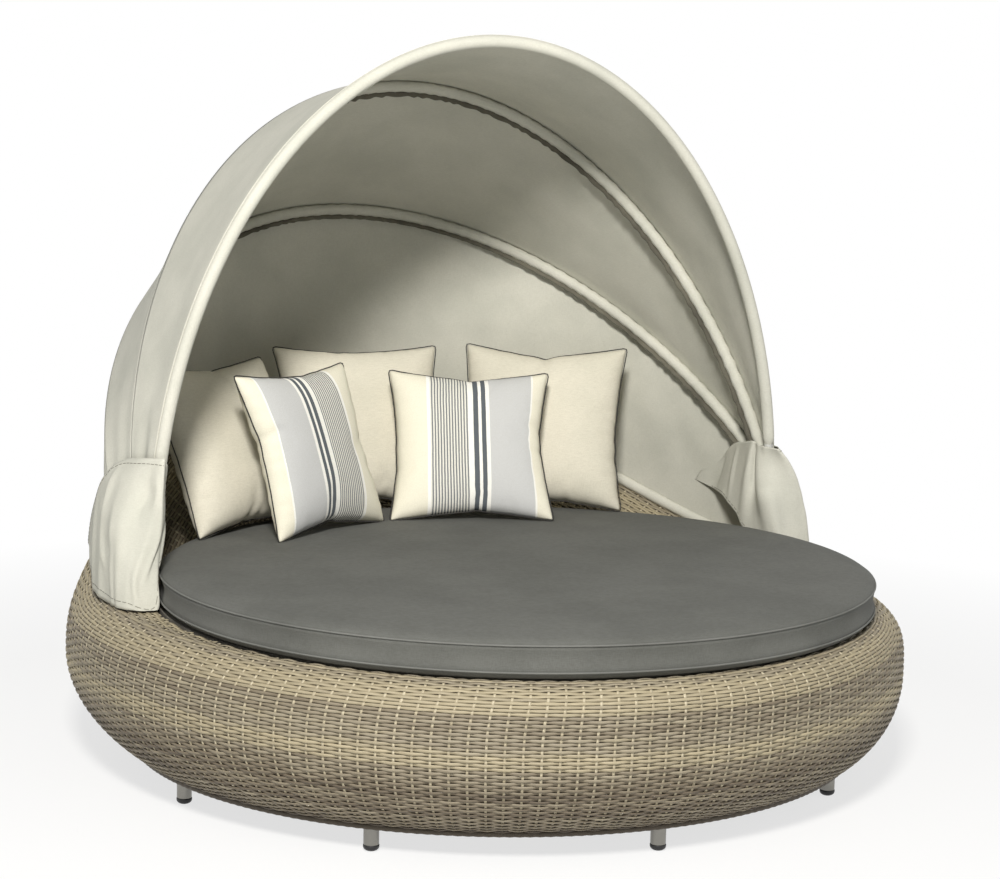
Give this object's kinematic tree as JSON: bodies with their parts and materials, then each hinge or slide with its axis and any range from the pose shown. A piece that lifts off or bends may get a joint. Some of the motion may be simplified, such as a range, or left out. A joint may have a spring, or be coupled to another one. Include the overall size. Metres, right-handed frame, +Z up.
{
  "type": "outdoor daybed",
  "caption": "Round outdoor daybed: woven wicker body with a rising backrest, boxed round mattress, loose cushions and a folding canvas canopy on nested hoops.",
  "frame": {"origin": "on the floor under the middle of the woven body", "axes": "+Z up; the open front faces -Y; +X to the right of a person who looks at the front; the hoops turn about X"},
  "size_m": [2.094, 2.2458, 1.8053],
  "materials": {
    "wicker": "woven synthetic wicker in mixed straw, grey and brown strands",
    "frame": "powder-coated, satin",
    "board": "weather-resistant board, matt",
    "steel": "brushed stainless",
    "glide": "moulded, matt",
    "hoop": "powder-coated, satin",
    "canvas": "plain woven outdoor canvas",
    "mattress_cover": "plain woven outdoor cover",
    "plain_cover": "plain woven cover with dark piping",
    "striped_cover": "woven stripes in cream, grey and slate"
  },
  "bodies": {
    "base": {"woven_shell": "wicker", "woven_border": "wicker", "basket_frame": "frame", "deck_frame": "frame", "deck_board_front": "board", "deck_board_rear": "board", "leg_1": "steel", "leg_2": "steel", "leg_3": "steel", "leg_4": "steel", "leg_5": "steel", "leg_6": "steel", "leg_7": "steel", "leg_8": "steel", "leg_glide_1": "glide", "leg_glide_2": "glide", "leg_glide_3": "glide", "leg_glide_4": "glide", "leg_glide_5": "glide", "leg_glide_6": "glide", "leg_glide_7": "glide", "leg_glide_8": "glide", "canopy_bracket_left": "steel", "pivot_bolt_left": "steel", "pivot_nut_left": "steel", "pivot_washer_left_1": "glide", "pivot_washer_left_2": "glide", "pivot_washer_left_3": "glide", "bracket_screw_left_1": "steel", "bracket_screw_left_2": "steel", "canopy_bracket_right": "steel", "pivot_bolt_right": "steel", "pivot_nut_right": "steel", "pivot_washer_right_1": "glide", "pivot_washer_right_2": "glide", "pivot_washer_right_3": "glide", "bracket_screw_right_1": "steel", "bracket_screw_right_2": "steel", "rear_rail": "hoop", "rail_stud_1": "steel", "rail_stud_2": "steel", "rail_stud_3": "steel", "rail_stud_4": "steel", "rail_stud_5": "steel", "canopy_panel_rear": "canvas", "canopy_skirt_left": "canvas", "canopy_skirt_right": "canvas", "mattress": "mattress_cover", "back_cushion_right": "plain_cover", "back_cushion_middle": "plain_cover", "back_cushion_left": "plain_cover", "striped_cushion_centre": "striped_cover", "striped_cushion_left": "striped_cover"},
    "third": {"third_hoop": "hoop", "canopy_panel_middle": "canvas"},
    "second": {"second_hoop": "hoop", "canopy_panel_front": "canvas"},
    "front": {"front_hoop": "hoop"}
  },
  "joints": [
    {"name": "canopy_third", "type": "hinge", "parent": "base", "child": "third", "pos_m": [0, 0.026, 0.573], "axis": [-1, 0, 0], "range_deg": [0, 21.1], "deforming": ["canopy_panel_rear", "canopy_skirt_left", "canopy_skirt_right"]},
    {"name": "canopy_second", "type": "hinge", "parent": "third", "child": "second", "pos_m": [0, 0.026, 0.573], "axis": [-1, 0, 0], "range_deg": [0, 24.7], "deforming": ["canopy_panel_middle"]},
    {"name": "canopy_front", "type": "hinge", "parent": "second", "child": "front", "pos_m": [0, 0.026, 0.573], "axis": [-1, 0, 0], "range_deg": [0, 26.5], "deforming": ["canopy_panel_front"]}
  ],
  "couplings": [
    {"joint": "canopy_second", "follows": "canopy_third", "ratio": 1.1659},
    {"joint": "canopy_front", "follows": "canopy_third", "ratio": 1.2512}
  ]
}
